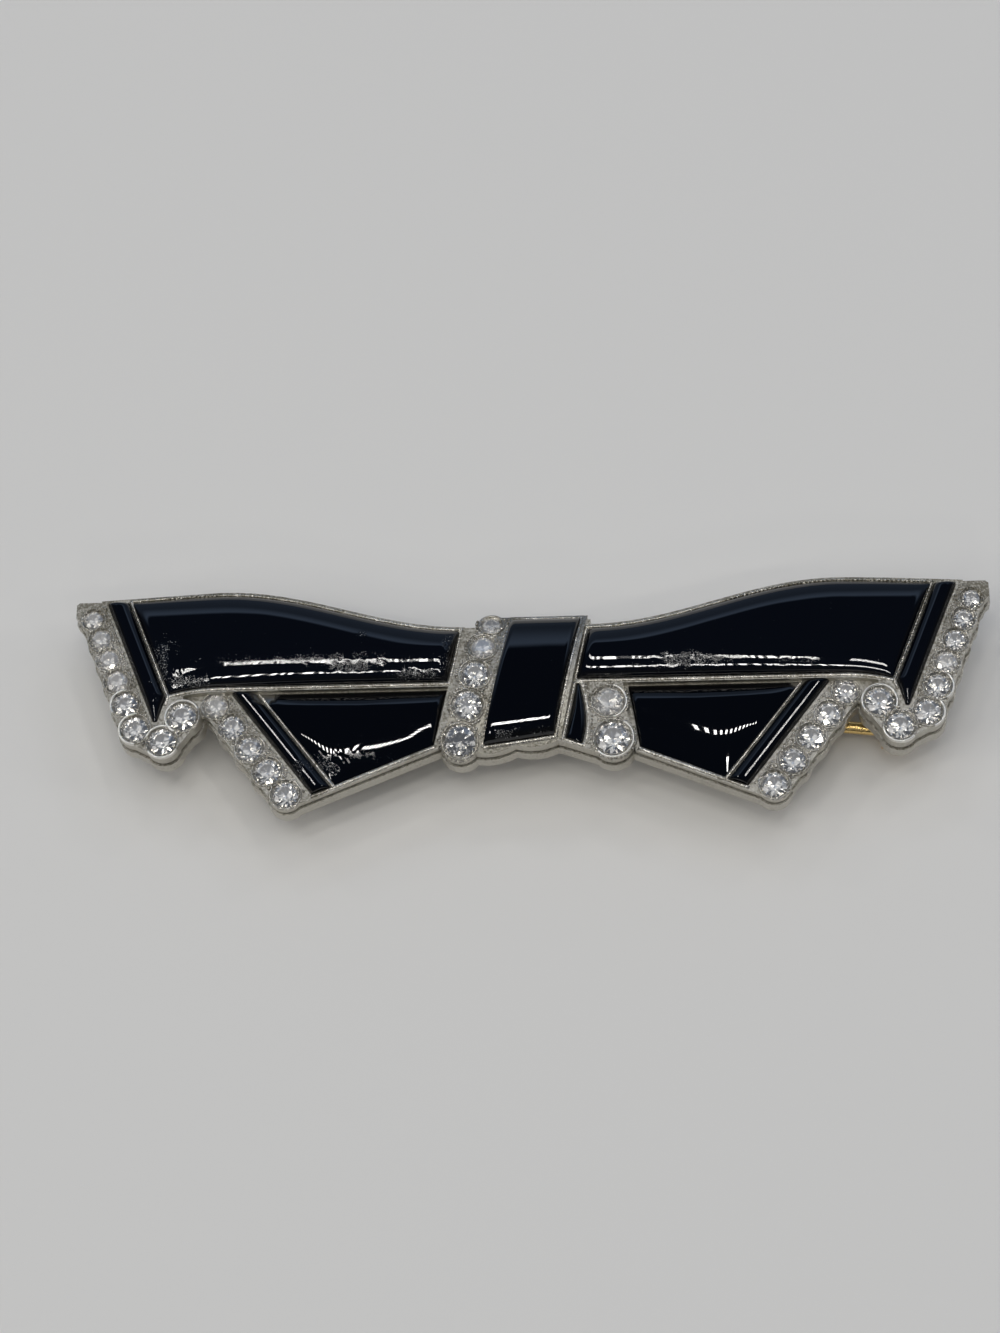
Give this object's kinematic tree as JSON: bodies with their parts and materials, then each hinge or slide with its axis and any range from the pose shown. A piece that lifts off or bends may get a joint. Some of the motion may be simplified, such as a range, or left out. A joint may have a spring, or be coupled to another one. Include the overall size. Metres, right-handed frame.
{
  "type": "bow brooch",
  "caption": "Bow brooch of grey-white metal with domed black onyx panels, rows of round brilliants and a hinged gold pin on its back.",
  "frame": {"origin": "middle of the brooch's box, on the surface that it lies on", "axes": "+X along the bow to the wearer's left (the picture's right), +Y up the bow, +Z out of the bow's face"},
  "size_m": [0.058, 0.0149, 0.0061],
  "materials": {
    "platinum": "satin, worn",
    "gold": "polished",
    "onyx": "polished stone",
    "diamond": "faceted, clear"
  },
  "bodies": {
    "brooch": {"frame": "platinum", "hinge_bracket": "gold", "catch": "gold", "left_loop_panel": "onyx", "right_loop_panel": "onyx", "left_edge_band": "onyx", "right_edge_band": "onyx", "left_tail_panel": "onyx", "right_tail_panel": "onyx", "left_tail_band": "onyx", "right_tail_band": "onyx", "knot_panel": "onyx", "knot_side_sliver": "onyx", "left_edge_stone_1": "diamond", "left_edge_stone_2": "diamond", "left_edge_stone_3": "diamond", "left_edge_stone_4": "diamond", "left_edge_stone_5": "diamond", "left_edge_stone_6": "diamond", "left_edge_stone_7": "diamond", "left_edge_stone_8": "diamond", "right_edge_stone_1": "diamond", "right_edge_stone_2": "diamond", "right_edge_stone_3": "diamond", "right_edge_stone_4": "diamond", "right_edge_stone_5": "diamond", "right_edge_stone_6": "diamond", "right_edge_stone_7": "diamond", "right_edge_stone_8": "diamond", "left_tail_stone_1": "diamond", "left_tail_stone_2": "diamond", "left_tail_stone_3": "diamond", "left_tail_stone_4": "diamond", "left_tail_stone_5": "diamond", "right_tail_stone_1": "diamond", "right_tail_stone_2": "diamond", "right_tail_stone_3": "diamond", "right_tail_stone_4": "diamond", "right_tail_stone_5": "diamond", "knot_stone_1": "diamond", "knot_stone_2": "diamond", "knot_stone_3": "diamond", "knot_stone_4": "diamond", "knot_stone_5": "diamond", "side_stone_1": "diamond", "side_stone_2": "diamond"},
    "pin": {"pin_stem": "gold"}
  },
  "joints": [
    {"name": "pin_hinge", "type": "hinge", "parent": "brooch", "child": "pin", "pos_m": [-0.02215, 0.00337, 0.001], "axis": [0.1167, 0.9932, 0], "range_deg": [0, 90]}
  ]
}
